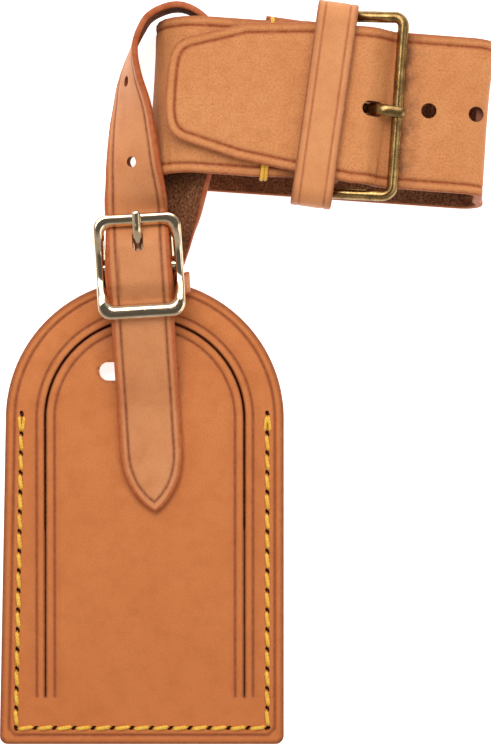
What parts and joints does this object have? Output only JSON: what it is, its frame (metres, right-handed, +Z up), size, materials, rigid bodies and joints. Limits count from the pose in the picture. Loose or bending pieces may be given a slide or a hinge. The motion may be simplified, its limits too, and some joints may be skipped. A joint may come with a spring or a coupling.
{
  "type": "luggage tag",
  "caption": "Round-topped leather luggage tag with a stitched window flap, a buckled hanging strap and a wide buckled band for a bag's handles",
  "frame": {"origin": "middle of the whole object's outline, on the surface it lies on", "axes": "+Z up from that surface, out of the tag's face; +Y from the tag's square bottom edge towards its round top and the wide band; +X to the right as the face is read"},
  "size_m": [0.113, 0.1708, 0.0242],
  "materials": {
    "tag_leather": "vegetable-tanned, smooth grain, lightly aged",
    "strap_leather": "vegetable-tanned, smooth grain, burnished dark edges",
    "band_leather": "vegetable-tanned, natural pebbled grain",
    "keeper_leather": "vegetable-tanned, smooth grain",
    "waxed_thread": "waxed linen, yellow",
    "card": "plain uncoated card",
    "polished_gold": "bright polished pale gold",
    "aged_brass": "aged, worn bright on its high points"
  },
  "bodies": {
    "tag": {"back_panel": "tag_leather", "front_panel": "tag_leather", "address_card": "card", "tag_stitching": "waxed_thread", "strap_fold_stitching": "waxed_thread"},
    "strap": {"tag_strap": "strap_leather"},
    "strap_loop": {"strap_keeper": "strap_leather"},
    "small_buckle": {"small_buckle_frame": "polished_gold", "small_buckle_bar": "polished_gold"},
    "small_prong": {"small_buckle_prong": "polished_gold"},
    "wrap": {"wrap_band": "band_leather", "wrap_fold_stitching": "waxed_thread"},
    "wrap_loop": {"wrap_keeper": "keeper_leather"},
    "large_buckle": {"large_buckle_frame": "aged_brass"},
    "large_prong": {"large_buckle_prong": "aged_brass"}
  },
  "joints": [
    {"name": "strap_bend", "type": "hinge", "parent": "tag", "child": "strap", "pos_m": [-0.02307, 0.03921, 0.006], "axis": [1, 0, 0], "range_deg": [-20, 60], "deforming": ["tag_strap"]},
    {"name": "wrap_swing", "type": "hinge", "parent": "strap", "child": "wrap", "pos_m": [-0.02003, 0.06399, 0.0098], "axis": [-0.0698, -0.9976, 0], "range_deg": [-4, 12], "deforming": ["tag_strap"]},
    {"name": "strap_keeper_slide", "type": "slide", "parent": "tag", "child": "strap_loop", "axis": [0.061, -0.9981, 0], "range_m": [0, 0.003]},
    {"name": "small_buckle_rock", "type": "hinge", "parent": "tag", "child": "small_buckle", "pos_m": [-0.02412, 0.02461, 0.011], "axis": [0.9981, 0.061, 0], "range_deg": [-3, 3]},
    {"name": "small_prong_lift", "type": "hinge", "parent": "small_buckle", "child": "small_prong", "pos_m": [-0.02412, 0.02461, 0.011], "axis": [0.9981, 0.061, 0], "range_deg": [0, 8]},
    {"name": "wrap_keeper_slide", "type": "slide", "parent": "wrap", "child": "wrap_loop", "axis": [0.9903, -0.1392, 0], "range_m": [-0.013, 0.003]},
    {"name": "large_buckle_rock", "type": "hinge", "parent": "wrap", "child": "large_buckle", "pos_m": [0.02007, 0.06119, 0.0162], "axis": [-0.1392, -0.9903, 0], "range_deg": [0, 2]},
    {"name": "large_prong_lift", "type": "hinge", "parent": "large_buckle", "child": "large_prong", "pos_m": [0.02007, 0.06119, 0.0162], "axis": [-0.1392, -0.9903, 0], "range_deg": [0, 3]}
  ]
}
